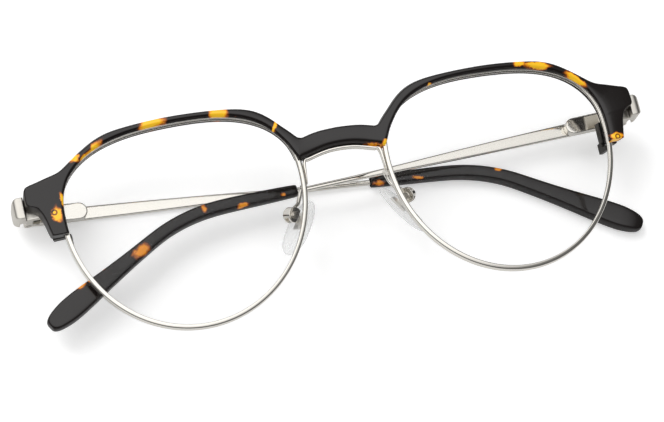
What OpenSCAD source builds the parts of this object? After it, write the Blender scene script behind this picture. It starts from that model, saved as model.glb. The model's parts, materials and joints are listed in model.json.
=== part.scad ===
// Browline glasses, folded: an acetate brow over a metal chassis, spring hinges and hooked acetate tips.
// The front is drawn in its own frame (X across, Y up to the brow, Z out of the lenses) and then laid
// over the two folded temples, with the outer face of the left temple on Z = 0.

/* [Lenses] */
// Width of one lens
lens_w = 51; // [46:0.5:56]
// Height of the lens above its widest line
lens_top = 15.75; // [13:0.25:18]
// Depth of the lens below its widest line
lens_bottom = 28; // [22:0.5:31]
// Squareness of the upper half of the lens
top_power = 2.65; // [2.2:0.05:3]
// Squareness of the lower half of the lens
bottom_power = 2; // [1.9:0.05:2.3]
// Thickness of the lens
lens_t = 1.5; // [1.2:0.1:1.8]
// Distance between the lenses
dbl = 18.9; // [16:0.1:22]

/* [Rims] */
// Radial width of the rim outside the lens edge
rim_out = 0.6; // [0.5:0.05:0.8]
// How far the rim laps over the lens
rim_lap = 0.45; // [0.35:0.05:0.6]
// Depth of the rim, front to back
rim_d = 1.7; // [1.5:0.05:2]
// Clearance round the lens in its rim
lens_gap = 0.05; // [0.03:0.01:0.1]

/* [Brow] */
// Height of the acetate in front of the rim plane
brow_front = 1.6; // [1.2:0.1:2.2]
// Depth of the acetate behind the rim
brow_rear = 0.6; // [0.4:0.05:0.9]
// Depth of the acetate behind the rim at the lug
lug_rear = 1.4; // [1:0.05:1.6]
// Width of the slope along the inner front edge of the brow
lip_slope = 0.5; // [0.3:0.05:0.6]
// Height of the acetate band over the middle of the lens
brow_band = 0.95; // [0.8:0.05:2]
// Height of the underside of the bridge over the widest line of the lens
bridge_y = 4.8; // [3.5:0.1:6]
// Height of the acetate bridge at its middle
bridge_h = 3.7; // [3:0.1:5]
// Length of the lug beyond the lens
lug_len = 7.15; // [6:0.05:9]
// Size of the chamfers along the brow's edges
chamfer = 0.3; // [0.1:0.05:0.4]

/* [Metal] */
// Height of the metal bridge
metal_bridge_h = 0.75; // [0.5:0.05:1]
// Depth of the metal bridge
metal_bridge_d = 1.6; // [1.2:0.1:2]
// Thickness of the end piece behind the lug
end_t = 1.05; // [0.8:0.05:1.2]
// Height of the end piece
end_h = 4.7; // [4.2:0.1:5.4]
// Radius of the end piece's outer corners
end_corner = 1.3; // [0.8:0.1:1.4]
// Radius of the pad arm wire
arm_r = 0.5; // [0.4:0.05:0.6]

/* [Hinges] */
// Height of the hinge over the widest line of the lens
hinge_y = 4.9; // [4.2:0.1:5.4]
// Distance of the hinge axis behind the rim plane
hinge_back = 7.2; // [6.8:0.1:9]
// Radius of the hinge barrels
barrel_r = 1.1; // [1:0.05:1.3]
// Height of the middle barrel, on the temple side
barrel_h = 1.7; // [1.4:0.1:2]
// Height of each outer barrel, on the front
knuckle_h = 1.45; // [1.2:0.05:1.8]
// Gap between barrels
barrel_gap = 0.05; // [0.03:0.01:0.1]
// Radius of the hinge screw
screw_r = 0.55; // [0.45:0.05:0.6]
// Running clearance of pins in their holes
run_gap = 0.05; // [0.03:0.01:0.08]

/* [Spring boxes] */
// Length of the spring box on the temple
box_len = 10.4; // [9:0.1:13]
// Height of the spring box
box_h = 3.7; // [3:0.1:4]
// Distance of the spring box from the hinge axis
box_start = 2.6; // [2.4:0.1:3]
// Radius of the spring's bore
spring_bore = 0.7; // [0.65:0.05:0.75]
// Radius of the plunger
plunger_r = 0.4; // [0.35:0.05:0.45]
// Wire radius of the spring
spring_wire = 0.09; // [0.07:0.01:0.1]
// Turns of the spring
spring_turns = 8; // [6:1:10]

/* [Temples] */
// Distance of the bar's inner face from the hinge axis
bar_in = 1.9; // [1.8:0.05:2.2]
// Thickness of the bar at the hinge
bar_t = 1.4; // [1.2:0.05:1.6]
// Height of the bar at the hinge
bar_h = 3.2; // [2.8:0.1:3.6]
// Height of the bar where it enters the tip
bar_end_h = 1.15; // [1:0.05:1.5]
// Length from the hinge axis to the bend
temple_straight = 93; // [85:1:105]
// Radius of the bend over the ear
bend_r = 36; // [25:1:45]
// Angle of the bend
bend_angle = 27; // [15:1:35]
// Length of the tip beyond the bend
hook_len = 29.4; // [22:0.2:34]
// Length of the acetate tip before the bend
tip_lead = 17; // [12:0.5:22]
// Height of the tip where it starts
tip_h0 = 2.5; // [2.3:0.1:3]
// Greatest height of the tip
tip_h1 = 5.1; // [4:0.1:5.6]
// Thickness of the tip where it starts
tip_t0 = 2.5; // [2.2:0.1:2.8]
// Greatest thickness of the tip
tip_t1 = 3.7; // [3:0.1:4]
// Width of the slope along the tip's edges
tip_edge = 0.65; // [0.4:0.05:0.9]
// Slope of the temple below the front's level line
droop = 3; // [0:0.5:6]
// Further slope of the right temple
droop_more = 0.6; // [0:0.1:1]
// Height of the right hinge over the left one when folded
stack = 4.7; // [4.7:0.1:6]

/* [Nose pads] */
// Length of a pad
pad_len = 13.5; // [11:0.5:15]
// Width of a pad
pad_w = 7.2; // [6:0.2:8]
// Thickness of a pad
pad_t = 2; // [1.8:0.1:2.4]
// Frontal angle of a pad
pad_frontal = 33; // [25:1:38]
// Splay angle of a pad
pad_splay = 35; // [25:1:40]
// Radius of the pad box
pad_box_r = 1.7; // [1.6:0.05:1.8]

/* [Hidden] */

$fn = 48;
steps = 60;                                   // stations round a lens
wrap_k = 0.00123;                             // curve of the whole front across the face
lens_k = 0.0040;                              // curve of each lens
curve_y = 5.84;                               // height at which the curve stands furthest forward
groove = rim_out + 0.05;                      // depth of the brow's groove round the rim
lens_x = dbl/2 + lens_w/2;                    // centre of a lens
temple_side = lens_x + lens_w/2;              // outer end of a lens
lug_x = temple_side + lug_len;                // outer end of the lug
hinge_x = lug_x - 0.6;
outer_d = bar_in + bar_t;                     // outer face of a temple, from its hinge axis
wall_x = hinge_x + outer_d;                   // outer wall of the end piece

// Height of the rim plane: a wrapped front with a curved lens on each side of the bridge. The curve
// of a lens runs out evenly beside it, between the widths t0 and t1.
function run_out(t, t0, t1) = t <= t0 ? t*t : let (u = min(t, t1) - t0) t0*t0 + 2*t0*u*(1 - u/(t1 - t0)/2);
function front_z(x, y) = -wrap_k*x*x - lens_k*pow(y - curve_y, 2)
    - lens_k*run_out(abs(abs(x) - lens_x), lens_w/2 - 4, lens_w/2 + 4);
hinge_z = front_z(lug_x, hinge_y) - hinge_back;

// How the folded pair lies: the temples are level and the front leans on them.
lean = asin(stack/(2*hinge_x));
front_up = outer_d + hinge_x*sin(lean) - hinge_z*cos(lean);
left_axis = [-hinge_x*cos(lean) - hinge_z*sin(lean), hinge_y, outer_d];
right_axis = [hinge_x*cos(lean) - hinge_z*sin(lean), hinge_y, outer_d + stack];
middle = [0.44, (lens_top + brow_band + 0.45 - lens_bottom - rim_out)/2, 0];

module in_front() translate([0, 0, front_up] - middle) rotate([0, -lean, 0]) children();
module on_side(side) mirror([side < 0 ? 1 : 0, 0, 0]) children();
module on_front(side) in_front() on_side(side) children();
// A temple lies along +X from its hinge axis with its outer face down; the right one is mirrored.
module on_temple(side)
    translate((side < 0 ? left_axis : right_axis) - middle) on_side(-side) children();
module drooped(side) rotate([0, 0, -droop - (side < 0 ? 0 : droop_more)]) children();

// Lens outline: two half superellipses that share their widest line.
function power_at(a) = sin(a) >= 0 ? top_power : bottom_power;
function half_h(a) = sin(a) >= 0 ? lens_top : lens_bottom;
function edge(a) = let (p = 2/power_at(a), c = cos(a), s = sin(a))
    [lens_w/2*sign(c)*pow(abs(c), p), half_h(a)*sign(s)*pow(abs(s), p)];
function edge_normal(a) = let (p = 2 - 2/power_at(a), c = cos(a), s = sin(a),
    v = [half_h(a)*sign(c)*pow(abs(c), p), lens_w/2*sign(s)*pow(abs(s), p)]) v/norm(v);
function on_edge(a, off) = [lens_x, 0] + edge(a) + off*edge_normal(a);
function lift(p, z) = [p.x, p.y, front_z(p.x, p.y) + z];

// Smooth curve through rows of numbers, n steps to a row.
function blend(a, b, c, d, t) = 0.5*(2*b + (c - a)*t + (2*a - 5*b + 4*c - d)*t*t
    + (3*b - a - 3*c + d)*t*t*t);
function curve(rows, n) = let (last = len(rows) - 1)
    [for (i = [0:last - 1], k = [0:n - 1])
        blend(rows[max(i - 1, 0)], rows[i], rows[i + 1], rows[min(i + 2, last)], k/n), rows[last]];
function flip(p) = [-p.x, p.y, p.z];

// Solid through a list of rings with equally many points; loop joins the last ring to the first.
module skin(rings, loop = false, cap = []) {
    n = len(rings[0]);
    m = len(rings);
    fan = len(cap) > 0 ? cap : [for (i = [1:n - 2]) [0, i, i + 1]];
    sides = [for (j = [0:m - (loop ? 1 : 2)], i = [0:n - 1])
        let (a = j*n + i, b = j*n + (i + 1) % n, c = ((j + 1) % m)*n + (i + 1) % n,
            d = ((j + 1) % m)*n + i) each [[a, b, c], [a, c, d]]];
    ends = loop ? [] : [for (t = fan) each [[t[0], t[2], t[1]], (m - 1)*n*[1, 1, 1] + t]];
    polyhedron([for (r = rings) each r], concat(sides, ends));
}

// Round wire along a path of points.
function ring_at(p, d, r, sides) = let (u = cross(d, abs(d.z) < 0.9*norm(d) ? [0, 0, 1] : [1, 0, 0]),
    e1 = u/norm(u), e2 = cross(d, e1)/norm(d))
    [for (i = [0:sides - 1]) p + r*(cos(360*i/sides)*e1 + sin(360*i/sides)*e2)];
module wire(path, r, sides) {
    last = len(path) - 1;
    skin([for (i = [0:last])
        ring_at(path[i], path[max(i - 1, 0)] - path[min(i + 1, last)], r, sides)]);
}

// Brow. Rows over a lens: angle on the lens edge, lap over the lens, lean of the rear edge,
// then the top edge in shares of the half lens width and of the lens height.
over_lens = [
    [174, 0.02, 0.25, -1.02, 0.454], [169.5, 0.55, 0.3, -1.0, 0.483], [162, 0.9, 0.35, -0.963, 0.546],
    [152, 1.1, 0.4, -0.9, 0.641], [136, 0.75, 0.4, -0.8, 0.79], [123, 0.45, 0.45, -0.67, 0.905],
    [110, 0.4, 0.45, -0.46, 0.965], [90, 0.4, 0.45, 0, 1], [72, 0.35, 0.45, 0.42, 0.98],
    [60, 0.35, 0.45, 0.6, 0.928], [50, 0.4, 0.45, 0.735, 0.83], [40, 0.5, 0.4, 0.857, 0.715],
    [30, 0.5, 0.35, 0.967, 0.61]];
// Rows round the lug: angle, lap and lean as above, then the edge in shares of the lug's length
// beyond the lens and in millimetres over the hinge.
round_lug = [
    [22, 0.5, 0.3, 0.27, 4.65], [16, 0.45, 0.2, 0.62, 4.05], [12.5, 0.4, 0.1, 0.9, 3.6],
    [10, 0.4, 0.05, 0.985, 2.8], [7.5, 0.4, 0.05, 1, 1.2], [5.5, 0.4, 0.05, 1, -0.3],
    [4.2, 0.4, 0.05, 0.9, -0.85], [3, 0.4, 0.05, 0.73, -1.45], [1.5, 0.4, 0.05, 0.63, -2.5],
    [0, 0.4, 0.05, 0.55, -3.9], [-2, 0.4, 0.05, 0.5, -5.3], [-4.5, 0.4, 0.05, 0.45, -7.1],
    [-6.9, 0.4, 0.05, 0.42, -8.25]];
// Rows along the bridge: share of the half bridge and drop of the underside, then of the top edge.
along_bridge = [[0, 0, 0, 0], [0.24, 0.1, 0.35, 0.15], [0.48, 0.5, 0.58, 0.45],
    [0.71, 1.1, 0.75, 0.85], [0.9, 1.6, 0.86, 1.15]];

top_rows = [for (r = over_lens) [r[0], r[1], r[2], lens_x + r[3]*lens_w/2,
    r[4]*(lens_top + brow_band)]];
lug_rows = [for (r = round_lug) [r[0], r[1], r[2], temple_side + r[3]*lug_len, hinge_y + r[4]]];
rim_rows = concat([for (r = curve(concat(top_rows, [lug_rows[0]]), 3)) r],
    [for (i = [1:2*(len(lug_rows) - 1)]) curve(lug_rows, 2)[i]]);

// One section of the brow: inner edge in, outer edge out, the groove's floor g and the depth behind it.
function rear_at(a) = lookup(a, [[14, lug_rear], [55, brow_rear]]);
function brow_section(in, out, g, lean_out, rear_in, rear) =
    let (d = (out - in)/norm(out - in), z0 = 0.05, z1 = -rim_d - 0.05, zr = z1 - rear)
    [lift(in, z0), lift(in, brow_front - 1.3*lip_slope), lift(in + d*lip_slope, brow_front),
     lift(out - d*chamfer, brow_front), lift(out, brow_front - chamfer),
     lift(out + d*lean_out, 0), lift(out + d*lean_out, zr + chamfer),
     lift(out + d*(lean_out - chamfer), zr), lift(rear_in, zr), lift(rear_in, z1),
     lift(g, z1), lift(g, z0)];
function over_section(r) = brow_section(on_edge(r[0], -r[1]), [r[3], r[4]], on_edge(r[0], groove), r[2],
    on_edge(r[0], -0.5*min(r[1]/0.3, 1)), rear_at(r[0]));
function bridge_section(r) =
    let (in = [r[0]*dbl/2, bridge_y - r[1]], out = [r[2]*dbl/2, bridge_y + bridge_h - r[3]])
    brow_section(in, out, in + [0, 0.03], 0.25, in, brow_rear);
brow_cap = concat([for (t = [[0, 1], [1, 2], [2, 3], [3, 4], [4, 5], [5, 6], [6, 10]])
    [11, t[0], t[1]]], [for (i = [6:8]) [10, i, i + 1]]);

module brow_bar() color("#2b2320") in_front() {
    half = concat([for (r = curve(along_bridge, 2)) bridge_section(r)],
        [for (r = rim_rows) over_section(r)]);
    other = [for (i = [len(half) - 1:-1:1]) [for (p = half[i]) flip(p)]];
    skin(concat(other, half), cap = brow_cap);
}

// Rims: a channel that holds the bevelled edge of the lens.
rim_channel = [[-rim_lap, 0], [rim_out - 0.2, 0], [rim_out, -0.25], [rim_out, -rim_d + 0.25],
    [rim_out - 0.2, -rim_d], [-rim_lap, -rim_d], [-rim_lap, -rim_d/2 - 0.4],
    [lens_gap + 0.05, -rim_d/2 - 0.05], [lens_gap + 0.05, -rim_d/2 + 0.05], [-rim_lap, -rim_d/2 + 0.4]];
module rim(side) color("#d8d4ca") on_front(side)
    skin([for (i = [0:steps - 1]) [for (p = rim_channel) lift(on_edge(360*i/steps, p[0]), p[1])]],
        loop = true);

// Lenses: shares of the outline and depths of the rings from front to back.
function lens_ring(share, off, z) = [for (i = [0:steps - 1]) let (a = 360*i/steps,
    p = [lens_x, 0] + share*(edge(a) + off*edge_normal(a))) lift(p, z)];
module lens(side) color("#e8eef0", 0.4) on_front(side) {
    inner = -rim_lap - lens_gap;
    mid = -rim_d/2;
    skin(concat([for (s = [0.2, 0.55, 0.85, 1]) lens_ring(s, inner, mid + lens_t/2)],
        [lens_ring(1, inner, mid + 0.3), lens_ring(1, 0, mid), lens_ring(1, inner, mid - 0.3)],
        [for (s = [1, 0.85, 0.55, 0.2]) lens_ring(s, inner, mid - lens_t/2)]));
}

// Metal bridge under the acetate one, running out along both rims.
under_bridge = concat([for (r = curve(along_bridge, 2)) [r[0]*dbl/2, bridge_y - r[1] - 0.05]],
    [for (a = [176, 179, 182, 185]) on_edge(a, rim_out + 0.02)]);
module metal_bridge() color("#d8d4ca") in_front() {
    n = len(under_bridge) - 1;
    lower = [for (i = [0:n]) let (t = i/n, p = under_bridge[i],
        d = i < n ? under_bridge[i + 1] - p : p - under_bridge[i - 1])
        p + metal_bridge_h*[d.y, -d.x]/norm(d)*(t < 0.75 ? 1 : 1 - 3*(t - 0.75))];
    half = [for (i = [0:n]) let (p = under_bridge[i], q = lower[i], d = (q - p)*0.2,
        z0 = -0.2, z1 = -0.2 - metal_bridge_d)
        [lift(p, z0 - 0.15), lift(p + d, z0), lift(q - d, z0), lift(q, z0 - 0.2),
         lift(q, z1 + 0.2), lift(q - d, z1), lift(p + d, z1), lift(p, z1 + 0.15)]];
    other = [for (i = [n:-1:1]) [for (p = half[i]) flip(p)]];
    rings = concat(other, half);
    skin([for (r = rings) [for (i = [7:-1:0]) r[i]]]);
}

// End piece: a plate behind the lug, the outer wall beside it and the two outer hinge barrels.
plate_x = temple_side - 0.1;
plate_gap = 0.13;
function plate_z(x) = front_z(x, hinge_y) - rim_d - 0.05 - lug_rear - plate_gap;
wall_front = plate_z(wall_x) + lug_rear + 1.3;
wall_end = hinge_z + 0.4;
module flat_y(h) rotate([90, 0, 0]) linear_extrude(height = h, center = true) children();
module barrel_profile() {
    translate([hinge_x, hinge_z]) circle(barrel_r);
    translate([hinge_x - 0.85, hinge_z]) square([1.7, plate_z(hinge_x) - end_t/2 - hinge_z]);
}
module end_piece(side) color("#d8d4ca") on_front(side) {
    top_x = lug_x + 0.15;
    bend = 1.5;
    out_y = end_h/2 - end_corner;
    translate([0, hinge_y, 0]) difference() {
        union() {
            intersection() {
                flat_y(end_h) {
                    polygon([[plate_x, plate_z(plate_x)], [top_x, plate_z(top_x)],
                        [top_x, wall_front], [wall_x - bend, wall_front],
                        [wall_x - bend, wall_front - bend], [wall_x, wall_front - bend],
                        [wall_x, wall_end], [wall_x - bar_t, wall_end],
                        [wall_x - bar_t, plate_z(top_x) - end_t - 0.7],
                        [top_x - 0.4, plate_z(top_x) - end_t], [plate_x, plate_z(plate_x) - end_t]]);
                    translate([wall_x - bend, wall_front - bend]) intersection() {
                        circle(bend);
                        square(bend);
                    }
                }
                translate([0, 0, hinge_z]) linear_extrude(height = 2*hinge_back) {
                    translate([0, -end_h/2]) square([wall_x - end_corner, end_h]);
                    translate([0, -out_y]) square([wall_x, 2*out_y]);
                    for (s = [-1, 1]) translate([wall_x - end_corner, s*out_y]) circle(end_corner);
                }
            }
            for (s = [-1, 1]) translate([0, s*(barrel_h/2 + barrel_gap + knuckle_h/2), 0])
                flat_y(knuckle_h) barrel_profile();
        }
        translate([hinge_x, 0, hinge_z]) rotate([90, 0, 0])
            cylinder(r = screw_r + run_gap, h = 2*end_h, center = true);
    }
}

module hinge_screw(side) color("#c9c6bd") on_front(side)
    translate([hinge_x, hinge_y, hinge_z]) rotate([-90, 0, 0]) {
        top = barrel_h/2 + barrel_gap + knuckle_h;
        translate([0, 0, -top]) cylinder(r = screw_r, h = 2*top + 0.1);
        translate([0, 0, top + 0.03]) difference() {
            cylinder(r = barrel_r - 0.1, h = 0.5);
            translate([-2, -0.12, 0.28]) cube([4, 0.24, 1]);
        }
    }

// Closing block of the rim behind the foot of the brow, with the screw that holds the acetate. It
// lies along the front's surface, and its arm runs down behind the rim.
block_x = temple_side + 1.75;
block_y = -0.6;
tilt_x = atan(front_z(block_x - 0.5, block_y) - front_z(block_x + 0.5, block_y));
tilt_y = atan(front_z(block_x, block_y + 0.5) - front_z(block_x, block_y - 0.5));
module on_block() translate([block_x, block_y, front_z(block_x, block_y)]) rotate([tilt_y, tilt_x, 0])
    children();
block_top = -rim_d - 0.11 - lug_rear;
block_t = 1.8;
module rim_block(side) color("#d8d4ca") on_front(side) on_block() difference() {
    union() {
        translate([-1.9, -2.3, block_top - block_t]) cube([3.5, 5.1, block_t]);
        translate([-2.4, -4.1, block_top - block_t]) cube([0.9, 2.3, block_t]);
        translate([-2.4, -4.1, block_top - 0.5]) cube([0.9, 1.1, 0.5 - block_top - rim_d - 0.05]);
    }
    translate([0, 0, block_top - 3]) cylinder(r = screw_r + 0.05, h = 6);
}
module brow_screw(side) color("#c9c6bd") on_front(side) on_block() {
    translate([0, 0, block_top - 1.85]) cylinder(r = screw_r, h = 1.85 - block_top + 0.2);
    translate([0, 0, block_top - 2.3]) difference() {
        cylinder(r = 1, h = 0.48);
        translate([-2, -0.12, -1]) cube([4, 0.24, 1.2]);
    }
}

// Nose pad group: the pad rocks on a screw across its box.
pad_at = [dbl/2 + 3.3, -7.4, front_z(dbl/2 + 3.3, -7.4) - 4.4];
module on_pad(side) on_front(side) translate(pad_at) rotate([0, 0, pad_frontal])
    rotate([0, -pad_splay, 0]) children();
arm_path = curve([for (p = [[-0.15, -3.4, -rim_d + 0.1], [-0.3, -2.3, -2.6], [-0.4, -1.5, -3.8],
    [-0.1, -1.7, -4.9], [0.6, -3.4, -5.4], [1.4, -5.1, -5.1]])
    [dbl/2 + p.x, p.y, front_z(dbl/2, -3.4) + p.z]], 3);
module pad_arm(side) color("#d8d4ca") on_front(side)
    wire(concat(arm_path, [pad_at + [-0.5, 1.25, 0.1]]), arm_r, 8);
module pad_box(side) color("#d8d4ca") on_pad(side) difference() {
    cylinder(r = pad_box_r, h = 2.2, center = true);
    translate([-4, -3, -2]) cube([3.1, 6, 4]);
    translate([-3, -3, -0.5]) cube([4.05, 6, 1]);
    cylinder(r = 0.45, h = 4, center = true);
}
module pad_screw(side) color("#c9c6bd") on_pad(side) {
    cylinder(r = 0.4, h = 2.4, center = true);
    translate([0, 0, 1.13]) difference() {
        cylinder(r = 0.75, h = 0.4);
        translate([-2, -0.1, 0.22]) cube([4, 0.2, 1]);
    }
}
module pad_stem(side) color("#d8d4ca") on_pad(side) difference() {
    union() {
        cylinder(r = 0.95, h = 0.9, center = true);
        translate([-2.9, -0.75, -0.45]) cube([2.9, 1.5, 0.9]);
        translate([-2.9, -2, -1.2]) cube([0.5, 4, 2.4]);
    }
    cylinder(r = 0.45, h = 4, center = true);
}
// The pad's rings, from its back to its domed face: share of the outline and depth.
module nose_pad(side) color("#e9ecec", 0.5) on_pad(side) translate([-1.95, -1.4, 0])
    skin([for (r = [[0.72, 0], [0.95, -0.2], [1, -0.55], [0.97, -0.7], [0.8, -0.9], [0.45, -1]])
        [for (a = [0:15:345]) let (c = cos(a), s = sin(a))
            [r[1]*pad_t, -r[0]*pad_len/2*sign(c)*pow(abs(c), 0.9),
             r[0]*pad_w/2*sign(s)*pow(abs(s), 0.9)*(1 + 0.12*c)]]]);

// Spring hinge: a slider whose barrel turns on the front's screw and whose plunger runs in the box.
shank_w = 0.9;
shank_end = box_start + box_len - 1.6;
module slider(side) color("#c9c6bd") on_temple(side) difference() {
    union() {
        rotate([90, 0, 0]) cylinder(r = barrel_r, h = barrel_h, center = true);
        translate([0.3, -barrel_h/2, -1.5]) cube([box_start - 0.4, barrel_h, 1.3]);
        drooped(side) translate([1.5, 0, -shank_w]) rotate([0, 90, 0])
            cylinder(r = plunger_r, h = shank_end - 1.5);
    }
    rotate([90, 0, 0]) cylinder(r = screw_r + run_gap, h = 4, center = true);
}
module spring_nut(side) color("#c9c6bd") on_temple(side) drooped(side)
    translate([shank_end - 0.9, 0, -shank_w]) rotate([0, 90, 0]) difference() {
        cylinder(r = spring_bore - 0.05, h = 0.8);
        translate([0, 0, -1]) cylinder(r = plunger_r + 0.02, h = 3);
    }
spring_from = box_start + 1.25;
spring_to = shank_end - 1.02;
module flex_spring(side) color("#b8b8b8") on_temple(side) drooped(side) {
    coil_r = plunger_r + spring_wire + 0.04;
    n = spring_turns*9;
    span = spring_to - spring_from - 2*spring_wire;
    wire([for (i = [0:n]) [spring_from + spring_wire + span*i/n, coil_r*cos(40*i),
        coil_r*sin(40*i) - shank_w]], spring_wire, 5);
}
module flex_box(side) color("#d8d4ca") on_temple(side) drooped(side) difference() {
    translate([0, 0, -bar_in]) linear_extrude(height = bar_in + 0.1) {
        translate([box_start, -box_h/2]) square([box_len - box_h/2, box_h]);
        translate([box_start + box_len - box_h/2, 0]) circle(box_h/2);
    }
    translate([0, 0, -shank_w]) rotate([0, 90, 0]) {
        cylinder(r = plunger_r + run_gap, h = box_start + 3);
        translate([0, 0, box_start + 1.2]) cylinder(r = spring_bore, h = box_len - 2.4);
    }
}

// Temple: path along the middle of the bar and tip, as point and direction at length s.
arc_len = bend_r*bend_angle*PI/180;
temple_len = temple_straight + arc_len + hook_len;
function along(s) = s <= temple_straight ? [s, 0, 0]
    : let (a = min((s - temple_straight)/arc_len, 1)*bend_angle, rest = max(s - temple_straight - arc_len, 0))
    [temple_straight + bend_r*sin(a) + rest*cos(a), -bend_r*(1 - cos(a)) - rest*sin(a), a];
// Section of height h between depths w0 and w1, with edges of radius r cut in two steps.
function bar_ring(s, h, w0, w1, r) = let (p = along(s), up = [sin(p[2]), cos(p[2])],
    k = min(r, h/2.05, (w1 - w0)/2.05))
    [for (q = [[0.5*h - k, w0], [0.5*h - 0.3*k, w0 + 0.3*k], [0.5*h, w0 + k], [0.5*h, w1 - k],
        [0.5*h - 0.3*k, w1 - 0.3*k], [0.5*h - k, w1], [-0.5*h + k, w1], [-0.5*h + 0.3*k, w1 - 0.3*k],
        [-0.5*h, w1 - k], [-0.5*h, w0 + k], [-0.5*h + 0.3*k, w0 + 0.3*k], [-0.5*h + k, w0]])
        [p.x + q[0]*up.x, p.y + q[0]*up.y, -q[1]]];

// Bar: length, share of the height between hinge and tip, and how far its outer face stands back.
bar_rows = [[0.1, 1, 0], [8, 0.97, 0], [14, 0.9, 0.1], [20, 0.85, 0.2], [28, 0.73, 0.2],
    [40, 0.49, 0.2], [52, 0.18, 0.2], [62, 0.02, 0.2], [74, 0, 0.2], [83, 0, 0.2]];
tip_start = temple_straight - tip_lead;
tang = 9;
module temple_bar(side) color("#d8d4ca") on_temple(side) drooped(side)
    skin([for (r = curve(bar_rows, 2)) let (s = r[0]*(tip_start + tang)/83)
        bar_ring(max(s, 0.1), bar_end_h + (bar_h - bar_end_h)*r[1], bar_in, outer_d - max(r[2], 0), 0.35)]);

// Tip: share of its length, then shares of the growth in height and in thickness.
tip_rows = [[0, 0, 0], [0.063, 0.08, 0.3], [0.174, 0.13, 0.65], [0.315, 0.15, 0.9], [0.457, 0.16, 1],
    [0.552, 0.21, 1], [0.647, 0.33, 1], [0.741, 0.56, 1], [0.82, 0.84, 1], [0.883, 1, 1],
    [0.923, 0.98, 1]];
// Its blunt end: shares of the length left, of the height and of half the thickness.
nose_rows = [[0.65, 0.91, 0.05], [0.35, 0.8, 0.18], [0.14, 0.65, 0.4], [0.04, 0.5, 0.62], [0, 0.38, 0.8]];
module temple_tip(side) color("#2b2320") on_temple(side) drooped(side) {
    tip_len = temple_len - tip_start;
    body = [for (r = curve(tip_rows, 2)) let (t = tip_t0 + (tip_t1 - tip_t0)*r[2])
        bar_ring(tip_start + r[0]*tip_len, tip_h0 + (tip_h1 - tip_h0)*r[1], outer_d - t, outer_d, tip_edge)];
    end_len = (1 - 0.923)*tip_len;
    nose = [for (r = nose_rows) bar_ring(temple_len - end_len*r[0], tip_h1*r[1],
        outer_d - tip_t1*(1 - 0.3*r[2]), outer_d - 0.2*tip_t1*r[2], tip_edge)];
    pocket = [for (s = [tang + 0.1, 0]) bar_ring(tip_start + s, bar_end_h + 0.1, bar_in - 0.05,
        outer_d - 0.15, 0.35)];
    skin(concat(pocket, body, nose));
}

brow_bar();
rim(-1);  // rim_left
rim(1);  // rim_right
lens(-1);  // lens_left
lens(1);  // lens_right
metal_bridge();
end_piece(-1);  // end_piece_left
end_piece(1);  // end_piece_right
rim_block(-1);  // rim_block_left
rim_block(1);  // rim_block_right
brow_screw(-1);  // brow_screw_left
brow_screw(1);  // brow_screw_right
hinge_screw(-1);  // hinge_screw_left
hinge_screw(1);  // hinge_screw_right
pad_arm(-1);  // pad_arm_left
pad_arm(1);  // pad_arm_right
pad_box(-1);  // pad_box_left
pad_box(1);  // pad_box_right
pad_screw(-1);  // pad_screw_left
pad_screw(1);  // pad_screw_right
pad_stem(-1);  // pad_stem_left
pad_stem(1);  // pad_stem_right
nose_pad(-1);  // nose_pad_left
nose_pad(1);  // nose_pad_right
slider(-1);  // slider_left
slider(1);  // slider_right
spring_nut(-1);  // spring_nut_left
spring_nut(1);  // spring_nut_right
flex_spring(-1);  // flex_spring_left
flex_spring(1);  // flex_spring_right
flex_box(-1);  // flex_box_left
flex_box(1);  // flex_box_right
temple_bar(-1);  // temple_bar_left
temple_bar(1);  // temple_bar_right
temple_tip(-1);  // temple_tip_left
temple_tip(1);  // temple_tip_right
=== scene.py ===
# %% [markdown]
# # Browline glasses, folded on a pale table
# The pair is an acetate brow bar over a slim metal chassis, with clear lenses, nose pads on wires
# and spring hinges. The solids come from the CAD part, in metres, already in place. This script
# dresses them: it rounds their edges, gives each its finish, and sets up the table, light and
# camera.

# %% Load the solids
import json
import math

import bmesh
import bpy
from mathutils import Matrix, Vector


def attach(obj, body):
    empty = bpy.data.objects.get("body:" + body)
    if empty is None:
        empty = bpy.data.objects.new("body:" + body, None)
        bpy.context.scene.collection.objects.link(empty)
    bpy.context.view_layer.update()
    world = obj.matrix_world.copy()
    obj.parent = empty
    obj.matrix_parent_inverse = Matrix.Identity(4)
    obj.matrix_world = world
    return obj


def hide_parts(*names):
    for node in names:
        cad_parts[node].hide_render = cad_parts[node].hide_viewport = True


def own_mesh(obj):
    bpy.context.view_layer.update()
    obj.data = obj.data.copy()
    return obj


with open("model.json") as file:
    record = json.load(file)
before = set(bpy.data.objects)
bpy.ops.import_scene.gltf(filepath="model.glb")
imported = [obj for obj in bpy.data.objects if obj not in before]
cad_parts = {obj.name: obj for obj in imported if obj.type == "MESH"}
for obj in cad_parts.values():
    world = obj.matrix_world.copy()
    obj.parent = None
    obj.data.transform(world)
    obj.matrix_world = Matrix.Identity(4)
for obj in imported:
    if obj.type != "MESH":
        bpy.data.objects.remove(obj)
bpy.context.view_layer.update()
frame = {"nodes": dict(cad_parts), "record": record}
solids = frame["nodes"]

# %% [markdown]
# ## Camera
# The photograph looks down steeply from the left of the wearer's front, and the picture is turned,
# so that the brow climbs to the right. The view direction is written as a back vector, and the turn
# as the direction that is right in the picture. A long lens keeps both lenses nearly the same size.
# The place, the turn and the lens come from fitting the part's own outlines to the photograph.

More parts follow.
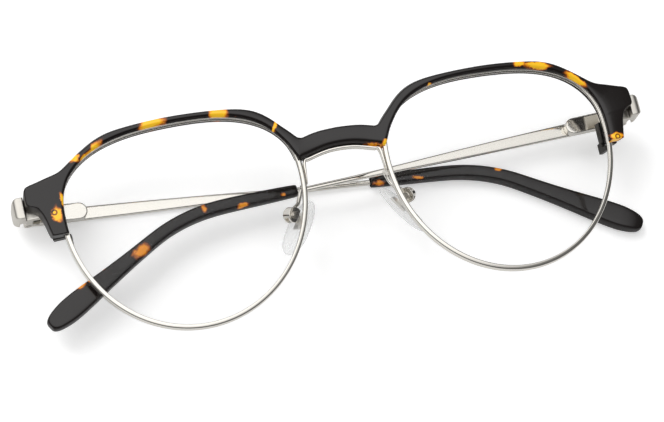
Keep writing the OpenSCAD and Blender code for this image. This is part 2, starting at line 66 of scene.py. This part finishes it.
# %% Camera
CAMERA_PLACE = (-0.134515, -0.150462, 0.502392)
camera_data = bpy.data.cameras.new("camera")
camera_data.sensor_width = 36
camera_data.lens = 134.23
camera_data.clip_start, camera_data.clip_end = 0.05, 10
camera = bpy.data.objects.new("camera", camera_data)
bpy.context.scene.collection.objects.link(camera)
bpy.context.scene.camera = camera
back = Vector((-0.24709, -0.28110, 0.92732)).normalized()
right = Vector((0.95627, -0.22532, 0.18650))
right = (right - right.dot(back) * back).normalized()
turn = Matrix((right, back.cross(right), back)).transposed().to_4x4()
camera.matrix_world = Matrix.Translation(CAMERA_PLACE) @ turn
print("camera at", [round(v, 4) for v in CAMERA_PLACE], "lens", camera_data.lens)

# %% [markdown]
# ## Small helpers for nodes
# Every finish here is a tree of nodes. Written out in full, a tree is a long list of new nodes,
# links and values. A few helpers keep it short: each input gets a plain value or another node's
# output.

# %% Helpers for nodes
def plain_material(name):
    """A new material and its Principled shader."""
    material = bpy.data.materials.new(name)
    material.use_nodes = True
    return material, material.node_tree.nodes["Principled BSDF"]


def fill(tree, node, inputs):
    """Gives inputs of a node, by name or number, a plain value or another node's output."""
    for key, value in inputs.items():
        if isinstance(value, bpy.types.NodeSocket):
            tree.links.new(value, node.inputs[key])
        else:
            node.inputs[key].default_value = value


def added(tree, kind, inputs):
    """A new node of this kind in the tree, with its inputs filled."""
    node = tree.nodes.new(kind)
    fill(tree, node, inputs)
    return node


def arithmetic(tree, operation, *values):
    """The result of a Math node."""
    node = added(tree, "ShaderNodeMath", dict(enumerate(values)))
    node.operation = operation
    return node.outputs[0]


def grey(tone):
    """A neutral colour of this brightness."""
    return (tone, tone, tone, 1)


print("white is", grey(1))

# %% [markdown]
# ## Table and light
# A product photograph like this is lit by one large soft box over the table, with dark flags round
# it. The soft box gives the acetate its grey sheen, brighter on the side that faces it, and the
# flags give the polished metal its dark edge lines. Both are drawn here in the world, as a bright
# patch of sky that fades evenly into a dark horizon. A weak lamp from the upper left, which nothing
# mirrors, draws the soft shadows to the lower right that the photograph has. The table is pale to
# the camera and darker where a polished piece mirrors it. That is a trick, not physics: with a
# table as bright as the photograph's, the polished metal would lose its dark lines and go white.

# %% Table
TABLE_TONE, MIRRORED_TONE = 0.94, 0.6
TABLE_GLOW = 0.42


def table_top(half_side):
    """A wide pale table at the height that the folded glasses lie on."""
    bm = bmesh.new()
    bmesh.ops.create_grid(bm, x_segments=8, y_segments=8, size=half_side)
    mesh = bpy.data.meshes.new("table")
    bm.to_mesh(mesh)
    bm.free()
    material, shader = plain_material("table_white")
    tree = material.node_tree
    seen = added(tree, "ShaderNodeLightPath", {})
    tone = tree.nodes.new("ShaderNodeMix")
    tone.data_type = "RGBA"
    fill(tree, tone, {"Factor": seen.outputs["Is Glossy Ray"], "A": grey(TABLE_TONE),
                      "B": grey(MIRRORED_TONE)})
    colour = tone.outputs["Result"]
    fill(tree, shader, {"Base Color": colour, "Emission Color": colour, "Roughness": 0.9,
                        "Emission Strength": TABLE_GLOW, "Specular IOR Level": 0})
    mesh.materials.append(material)
    table = bpy.data.objects.new("table", mesh)
    bpy.context.scene.collection.objects.link(table)
    return table


print("made:", table_top(half_side=1.5).name)

# %% Soft box and flags
# Heights in the sky, as the sine of the angle above the horizon, between which the flags give way.
FLAGS_END, OVERHEAD_FROM = 0.15, 0.75
# Cosines of the angle from the soft box's middle to its faint edge and to its full brightness.
BOX_EDGE, BOX_CORE = 0.52, 0.92


def studio_world(towards, horizon, overhead, box):
    """A sky with a dark horizon, a soft overhead light and a soft box in the direction towards."""
    world = bpy.data.worlds.new("studio")
    world.use_nodes = True
    tree = world.node_tree
    where = added(tree, "ShaderNodeTexCoord", {}).outputs["Generated"]
    parts = added(tree, "ShaderNodeSeparateXYZ", {0: where})
    rise = added(tree, "ShaderNodeMapRange", {
        "Value": parts.outputs["Z"], "From Min": FLAGS_END, "From Max": OVERHEAD_FROM,
        "To Min": horizon, "To Max": overhead})
    rise.interpolation_type = "SMOOTHSTEP"
    near = added(tree, "ShaderNodeVectorMath", {0: where, 1: Vector(towards).normalized()})
    near.operation = "DOT_PRODUCT"
    glow = added(tree, "ShaderNodeMapRange", {
        "Value": near.outputs["Value"], "From Min": BOX_EDGE, "From Max": BOX_CORE, "To Max": box})
    glow.interpolation_type = "SMOOTHSTEP"
    strength = arithmetic(tree, "ADD", rise.outputs[0], glow.outputs[0])
    fill(tree, tree.nodes["Background"], {"Strength": strength, "Color": grey(1)})
    return world


bpy.context.scene.world = studio_world((-0.3, 0.25, 0.92), horizon=0.03, overhead=0.16, box=1.12)
bpy.context.scene.view_settings.view_transform = "Standard"
print("world:", bpy.context.scene.world.name)

# %% Lamp from the upper left
lamp_data = bpy.data.lights.new("window", "SUN")
lamp_data.energy = 0.85
lamp_data.angle = math.radians(28)
lamp = bpy.data.objects.new("window", lamp_data)
lamp.visible_glossy = False
lamp.rotation_mode = "QUATERNION"
lamp.rotation_quaternion = Vector((-0.42, 0.5, 0.76)).to_track_quat("Z", "Y")
bpy.context.scene.collection.objects.link(lamp)
print("lamp:", lamp.name, "with an energy of", round(lamp_data.energy, 2))

# %% [markdown]
# ## One skin for each solid
# The CAD solids are exact but faceted, with sharp edges. Real acetate is tumbled and real wire is
# drawn, so nothing on a pair of glasses has a razor edge. Dressing starts from a copy of the solid
# whose facets share their corners, because only a joined skin can be rounded. The finished piece
# then stands for its solid and rides on the same moving body.

# %% One skin
SAME_CORNER = 2e-6
body_of = {node: body for body, nodes in frame["record"]["behaviour"]["bodies"].items()
           for node in nodes}


def merged_copy(node):
    """The node's mesh as a bmesh whose facets share their corners."""
    bm = bmesh.new()
    bm.from_mesh(solids[node].data)
    bmesh.ops.remove_doubles(bm, verts=bm.verts, dist=SAME_CORNER)
    bmesh.ops.recalc_face_normals(bm, faces=bm.faces)
    return bm


def as_piece(bm, node, material):
    """Turns bm into a piece that stands for node, rides on its body and takes its finish."""
    name = node + "_look"
    mesh = bpy.data.meshes.new(name)
    bm.to_mesh(mesh)
    bm.free()
    mesh.materials.append(material)
    mesh.shade_smooth()
    piece = bpy.data.objects.new(name, mesh)
    bpy.context.scene.collection.objects.link(piece)
    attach(piece, body_of[node])
    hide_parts(node)
    return piece


print("moving bodies:", sorted(set(body_of.values())))

# %% [markdown]
# ## Flowing pieces
# The brow, rims, wires, lenses, pads and temples are lofted or swept, so their surfaces flow. Their
# triangles are paired into quads, and a subdivision surface with creased corners makes them smooth.
# A bevel would only round their edges and leave the facets. The two feet of the brow get one change
# first: their end walls slope, so that the foot looks as thin from the front as it is in the
# photograph.

# %% Flowing pieces
# The brow's feet, in metres: how far out and how low they lie, how deep the slope is at the rear
# edge, and over what height it fades in.
FOOT_OUT, FOOT_TOP = 0.057, 0.0042
FOOT_SLOPE, SLOPE_FADE = 0.0008, 0.0014


def worn_feet(bm):
    """Slopes the end wall of each foot, so that its rear edge is shorter than its face."""
    for side in (-1, 1):
        foot = [v for v in bm.verts if side * v.co.x > FOOT_OUT and v.co.y < FOOT_TOP]
        top, low = max(v.co.z for v in foot), min(v.co.z for v in foot)
        for v in foot:
            depth = (top - v.co.z) / (top - low)
            v.co.y += FOOT_SLOPE * depth * min((FOOT_TOP - v.co.y) / SLOPE_FADE, 1)


def flowing(node, material, slot, crease_from=35, crease=0.25, levels=2):
    """A lofted solid made smooth: quads, creased corners and a subdivision surface."""
    bm = merged_copy(node)
    if node == "brow_bar":
        worn_feet(bm)
    bmesh.ops.join_triangles(bm, faces=bm.faces, angle_face_threshold=math.radians(20),
                             angle_shape_threshold=math.radians(60), cmp_seam=False,
                             cmp_sharp=False, cmp_uvs=False, cmp_vcols=False, cmp_materials=False)
    layer = bm.edges.layers.float.new("crease_edge")
    for edge in bm.edges:
        if len(edge.link_faces) == 2 and edge.calc_face_angle(0) > math.radians(crease_from):
            edge[layer] = crease
    piece = as_piece(bm, node, material)
    surface = piece.modifiers.new("smooth", "SUBSURF")
    surface.levels = surface.render_levels = levels
    return piece


print("feet slope by", FOOT_SLOPE * 1000, "mm")

# %% [markdown]
# ## Milled, turned and tumbled pieces
# Screws, barrels, nuts and blocks are turned or milled. They keep their flat faces and get a small
# bevel, which catches the light as the real edges do. The end pieces and spring boxes have been in
# a tumbling barrel as well, so their edges are rounder than a bevel of two steps shows. They are
# rebuilt from fine cells and smoothed, which wears every edge by about the same amount.

# %% Milled and tumbled pieces
EDGE_FROM = math.radians(30)


def machined(node, material, slot, edge=0.00008):
    """A turned or milled solid with a small bevel along its sharp edges."""
    bm = merged_copy(node)
    bmesh.ops.dissolve_limit(bm, angle_limit=math.radians(1), verts=bm.verts, edges=bm.edges)
    piece = as_piece(bm, node, material)
    piece.data.set_sharp_from_angle(angle=EDGE_FROM)
    bevel = piece.modifiers.new("edge", "BEVEL")
    bevel.width = edge
    bevel.segments = 2
    bevel.limit_method = "ANGLE"
    bevel.angle_limit = EDGE_FROM
    return piece


def tumbled(node, material, slot, cell=0.00012, rounds=14):
    """A small milled piece whose edges have been rounded in a tumbling barrel."""
    piece = as_piece(merged_copy(node), node, material)
    fine = piece.modifiers.new("fine", "REMESH")
    fine.mode = "VOXEL"
    fine.voxel_size = cell
    fine.use_smooth_shade = True
    worn = piece.modifiers.new("worn", "SMOOTH")
    worn.factor = 0.5
    worn.iterations = rounds
    return piece


print("edges count as sharp from", round(math.degrees(EDGE_FROM)), "degrees")

# %% [markdown]
# ## Tortoise acetate
# The brow and the tips are cut from one sheet of acetate: nearly black, with amber islands where
# the dark layer is thin. Under the polish an island runs from yellow in its middle through orange
# to a ragged brown edge. Each island is an ellipsoid in space whose edge is broken up by noise, so
# the same pattern goes through the thickness of the sheet, as it does in real acetate.

# %% Where the islands lie
# Middle, size and turn of each island, in millimetres and degrees.
BROW_ISLANDS = [
    ((-56.5, 18.3, 15.0), (1.3, 1.8, 4), 35), ((-52.9, 18.1, 16.0), (3.9, 1.1, 3), 38),
    ((-39.4, 21.4, 19.0), (3.4, 1.6, 4), 8), ((-25.1, 20.8, 20.0), (2.2, 2.2, 4), 0),
    ((-20.9, 18.8, 20.0), (2.4, 0.7, 1.5), -15), ((-13.9, 16.0, 20.0), (0.6, 1.8, 3), -25),
    ((-60.2, 9.6, 13.6), (0.6, 1.8, 3), 0), ((-62.0, 6.9, 12.9), (1.0, 1.9, 4), 8),
    ((7.0, 8.6, 19.7), (3.2, 0.9, 4), -14), ((9.3, 8.9, 20.3), (1.4, 0.8, 3), 0),
    ((21.4, 19.5, 21.5), (0.6, 0.6, 2), 0), ((42.4, 21.6, 21.0), (1.6, 0.9, 3), 0),
    ((46.6, 20.9, 20.5), (3.9, 0.8, 3), -6), ((55.2, 16.6, 19.0), (3.4, 0.9, 3), -38),
    ((61.5, 3.1, 16.8), (1.7, 1.2, 4), 0)]
TIP_ISLANDS = [
    ((-30.4, 4.6, 7.5), (0.8, 1.2, 2), 0), ((-21.5, 4.0, 7.5), (1.6, 0.5, 2), 0),
    ((-12.2, 5.2, 8), (0.7, 0.6, 2), 0), ((-45.4, -2.6, 8.0), (2.4, 1.3, 3), 35),
    ((-59.3, -7.4, 8.0), (2.2, 1.0, 2), 30), ((-53.7, -4.8, 8.0), (0.6, 0.8, 2), 0),
    ((10.7, 5.6, 3.0), (1.4, 0.9, 2), 0), ((19.2, 5.2, 3.5), (1.6, 0.6, 2), -20),
    ((37.6, 4.1, 3.5), (1.2, 0.6, 2), -10)]
# Middle and radius of the ring that each screw shows through its island, in millimetres.
SCREW_RINGS = [((-62.4, 7.3, 13.2), 0.5), ((61.6, 2.9, 17.3), 0.5)]
print("islands:", len(BROW_ISLANDS), "on the brow,", len(TIP_ISLANDS), "on the tips")

# %% [markdown]
# ## Islands as a mask
# The noise moves each point by up to RAGGED before its distance from an island is measured. That
# moves a straight edge to and fro, as thin acetate runs out unevenly. Adding noise to the colour
# would only speckle it. The noise is on the plus side only, so each island is shifted by half of
# it.

# %% Islands as a mask
RAGGED = 0.0026
ISLAND_EDGE, ISLAND_CORE = 1.08, 0.55
RING_HALF_WIDTH, RING_DARKNESS = 0.00016, 0.65


def socket(group, name, kind, way, value=None):
    """Adds a named input or output to a node group."""
    made = group.interface.new_socket(name=name, in_out=way, socket_type=kind)
    if value is not None:
        made.default_value = value


def metres(millimetres):
    """A place or size in metres."""
    return [m / 1000 for m in millimetres]


def island(group, point, middle, size, turned):
    """1 in the middle of one island, falling to 0 at its edge."""
    place = group.nodes.new("ShaderNodeMapping")
    place.vector_type = "TEXTURE"
    fill(group, place, {
        "Vector": point, "Location": [m + RAGGED / 2 for m in metres(middle)],
        "Rotation": (0, 0, math.radians(turned)), "Scale": metres(size)})
    reach = added(group, "ShaderNodeVectorMath", {0: place.outputs[0]})
    reach.operation = "LENGTH"
    fade = added(group, "ShaderNodeMapRange", {
        "Value": reach.outputs["Value"], "From Min": ISLAND_EDGE, "From Max": ISLAND_CORE})
    return fade.outputs[0]


def ringed(group, point, mask, middle, radius):
    """The mask with the dark ring of a screw taken out of it."""
    apart = added(group, "ShaderNodeVectorMath", {0: point, 1: metres(middle)})
    apart.operation = "DISTANCE"
    ring = arithmetic(group, "COMPARE", apart.outputs["Value"], radius / 1000, RING_HALF_WIDTH)
    return arithmetic(group, "MULTIPLY_ADD", ring, -RING_DARKNESS, mask)


def islands_group(name, islands, rings=()):
    """Node group: the mask of all the islands together, with the rings of screws taken out."""
    group = bpy.data.node_groups.new(name, "ShaderNodeTree")
    socket(group, "Mask", "NodeSocketFloat", "OUTPUT")
    point = added(group, "ShaderNodeTexCoord", {}).outputs["Object"]
    noise = added(group, "ShaderNodeTexNoise", {
        "Vector": point, "Scale": 420, "Detail": 4, "Roughness": 0.6})
    moved = added(group, "ShaderNodeVectorMath", {
        0: noise.outputs["Color"], 1: (RAGGED, RAGGED, RAGGED), 2: point})
    moved.operation = "MULTIPLY_ADD"
    mask = island(group, moved.outputs[0], *islands[0])
    for each in islands[1:]:
        mask = arithmetic(group, "MAXIMUM", mask, island(group, moved.outputs[0], *each))
    for middle, radius in rings:
        mask = ringed(group, point, mask, middle, radius)
    fill(group, group.nodes.new("NodeGroupOutput"), {"Mask": mask})
    return group


brow_mask = islands_group("tortoise_brow_islands", BROW_ISLANDS, SCREW_RINGS)
tip_mask = islands_group("tortoise_tip_islands", TIP_ISLANDS)
print("masks:", brow_mask.name, "and", tip_mask.name)

# %% [markdown]
# ## Polish and colour
# Acetate is polished on a wheel, which reaches the broad faces better than the milled walls, so the
# coat is strong where a face looks along the sheet's thickness. The mask drives the colour through
# a ramp. A weak painted glow in the same colour stands in for the light that comes up through thin
# amber from the white table. The tips lie in shade, so their mask is turned down: painted shade
# that deepens their amber.

# %% Polish and colour
DARK_LAYER, YELLOW = (0.007, 0.005, 0.0045, 1), (1, 0.57, 0.02, 1)
BETWEEN = [
    (0.22, (0.06, 0.016, 0.004, 1)), (0.45, (0.4, 0.1, 0.008, 1)), (0.7, (0.88, 0.33, 0.01, 1))]


def face_polish():
    """Node group: how polished the acetate is, most on its broad faces and less on milled walls."""
    group = bpy.data.node_groups.new("face_polish", "ShaderNodeTree")
    socket(group, "Polish", "NodeSocketFloat", "OUTPUT")
    normal = added(group, "ShaderNodeTexCoord", {}).outputs["Normal"]
    facing = added(group, "ShaderNodeSeparateXYZ", {0: normal})
    spread = added(group, "ShaderNodeMapRange", {
        "Value": arithmetic(group, "ABSOLUTE", facing.outputs["Z"]),
        "From Min": 0.35, "From Max": 0.85, "To Min": 0.1})
    fill(group, group.nodes.new("NodeGroupOutput"), {"Polish": spread.outputs[0]})
    return group


polished_faces = face_polish()


def tortoise(name, mask_group, painted_lit_fraction=1.0):
    """Polished tortoise acetate with islands, at full strength or dimmed as painted shade for
    pieces in shade.
    """
    material, shader = plain_material(name)
    tree = material.node_tree
    mask, polish = tree.nodes.new("ShaderNodeGroup"), tree.nodes.new("ShaderNodeGroup")
    mask.node_tree, polish.node_tree = mask_group, polished_faces
    ramp = added(tree, "ShaderNodeValToRGB", {
        "Fac": arithmetic(tree, "MULTIPLY", mask.outputs["Mask"], painted_lit_fraction)})
    ends = ramp.color_ramp.elements
    ends[0].color, ends[1].color = DARK_LAYER, YELLOW
    for place, colour in BETWEEN:
        ends.new(place).color = colour
    colour = ramp.outputs["Color"]
    # The emission is a painted glow, standing in for light that comes up through thin amber from
    # the table.
    fill(tree, shader, {"Base Color": colour, "Emission Color": colour, "Emission Strength": 0.25,
                        "Roughness": 0.3, "Specular IOR Level": 0.1, "Coat Roughness": 0.06,
                        "Coat Weight": polish.outputs["Polish"]})
    return material


brow_acetate = tortoise("tortoise_brow", brow_mask)
# The tips' islands are dimmed to 0.62 as painted shade, because the tips lie in shade.
tip_acetate = tortoise("tortoise_tip", tip_mask, painted_lit_fraction=0.62)
print("acetate:", brow_acetate.name, "and", tip_acetate.name)

# %% [markdown]
# ## Metal
# The chassis is plated and polished to a warm silver, so its colour is mostly what it mirrors. A
# faint noise in the roughness keeps it from looking like a computer's mirror. The end pieces are
# satin, and screws and springs are plain steel. The closing blocks behind the feet are painted
# near black as painted shade: real ones are silver like the rims and only look dark in the shade
# there.

# %% Metal
def fine_grain():
    """Node group: a roughness that wanders a little, for polished and satin metal."""
    group = bpy.data.node_groups.new("fine_grain", "ShaderNodeTree")
    socket(group, "Low", "NodeSocketFloat", "INPUT", 0.1)
    socket(group, "High", "NodeSocketFloat", "INPUT", 0.2)
    socket(group, "Scale", "NodeSocketFloat", "INPUT", 600.0)
    socket(group, "Roughness", "NodeSocketFloat", "OUTPUT")
    given = group.nodes.new("NodeGroupInput").outputs
    where = added(group, "ShaderNodeTexCoord", {}).outputs["Object"]
    noise = added(group, "ShaderNodeTexNoise", {
        "Vector": where, "Scale": given["Scale"], "Detail": 5})
    spread = added(group, "ShaderNodeMapRange", {
        "Value": noise.outputs["Fac"], "To Min": given["Low"], "To Max": given["High"]})
    fill(group, group.nodes.new("NodeGroupOutput"), {"Roughness": spread.outputs[0]})
    return group


metal_grain = fine_grain()


def metal(name, colour, low, high, scale):
    """A metal whose roughness wanders between low and high."""
    material, shader = plain_material(name)
    tree = material.node_tree
    wander = tree.nodes.new("ShaderNodeGroup")
    wander.node_tree = metal_grain
    fill(tree, wander, {"Low": low, "High": high, "Scale": scale})
    fill(tree, shader, {"Base Color": (*colour, 1), "Metallic": 1, "Roughness": wander.outputs[0]})
    return material


silver = metal("silver_plate", (0.86, 0.83, 0.77), 0.07, 0.16, 500)
satin = metal("silver_satin", (0.74, 0.71, 0.65), 0.26, 0.36, 700)
# Painted shade: a near-black steel for the closing blocks, which are really silver but lie in shade
# behind the feet.
block_shade_steel = metal("steel_painted_dark_as_shade", (0.06, 0.056, 0.052), 0.3, 0.45, 900)
steel = metal("screw_steel", (0.62, 0.60, 0.56), 0.2, 0.36, 900)
spring_wire = metal("spring_wire", (0.5, 0.5, 0.5), 0.25, 0.4, 900)
print("metals:", [m.name for m in (silver, satin, block_shade_steel, steel, spring_wire)])

# %% [markdown]
# ## Lens and pad
# Both are clear plastic: the body is nearly invisible and the edge is not. Real glass in the
# renderer would need many bounces and would darken the table behind it. Here the alpha rises where
# the surface is seen edge on, which a layer weight tells, and the polish still mirrors the light.

# %% Lens and pad
def clear(name, tint, body, rim, roughness):
    """A clear plastic, with one alpha for its body and one for where it is seen edge on."""
    material, shader = plain_material(name)
    tree = material.node_tree
    facing = added(tree, "ShaderNodeLayerWeight", {"Blend": 0.25})
    spread = added(tree, "ShaderNodeMapRange", {
        "Value": facing.outputs["Facing"], "To Min": body, "To Max": rim})
    fill(tree, shader, {"Base Color": (*tint, 1), "Roughness": roughness, "IOR": 1.5,
                        "Alpha": spread.outputs[0]})
    return material


lens_clear = clear("lens_clear", (0.05, 0.055, 0.055), body=0.02, rim=0.2, roughness=0.02)
pad_clear = clear("pad_clear", (0.93, 0.94, 0.94), body=0.18, rim=0.6, roughness=0.12)
print("clear:", lens_clear.name, "and", pad_clear.name)

# %% [markdown]
# ## Every solid gets its finish
# The brow and the metal bridge are single pieces, and everything else comes as a left and a right
# one. So the list holds each pair once, under the way that it is made.

# %% Every solid gets its finish
PAIRS = [
    (flowing, [
        ("rim", silver, "silver"),
        ("lens", lens_clear, "clear_lens"),
        ("pad_arm", silver, "silver"),
        ("nose_pad", pad_clear, "pad_plastic"),
        ("flex_spring", spring_wire, "spring_steel"),
        ("temple_bar", silver, "silver"),
        ("temple_tip", tip_acetate, "tortoise")]),
    (machined, [
        # The closing blocks take the near-black steel as painted shade.
        ("rim_block", block_shade_steel, "silver"),
        ("brow_screw", steel, "screw_steel"),
        ("hinge_screw", steel, "screw_steel"),
        ("pad_box", silver, "silver"),
        ("pad_screw", steel, "screw_steel"),
        ("pad_stem", silver, "silver"),
        ("slider", steel, "screw_steel"),
        ("spring_nut", steel, "screw_steel")]),
    (tumbled, [
        ("end_piece", satin, "silver"),
        ("flex_box", silver, "silver")])]

flowing("brow_bar", brow_acetate, "tortoise")
flowing("metal_bridge", silver, "silver")
for make, finishes in PAIRS:
    for side in ("left", "right"):
        for stem, material, slot in finishes:
            make(stem + "_" + side, material, slot)

# %% [markdown]
# ## Each spring gets a mesh of its own
# When a temple is pushed outwards it slides along its plunger and the spring gets shorter. One end
# of the spring stays against the nut, so the coils are squashed towards that end. Here each spring
# only gets a mesh of its own, and its coils are not squashed.

# %% Each spring gets a mesh of its own
# The way along each plunger. The right temple droops a little more than the left one.
PLUNGERS = {"left": (0.9986295, -0.052336, 0), "right": (-0.9980267, -0.0627905, 0)}
for side, way in PLUNGERS.items():
    spring = bpy.data.objects["flex_spring_" + side + "_look"]
    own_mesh(spring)
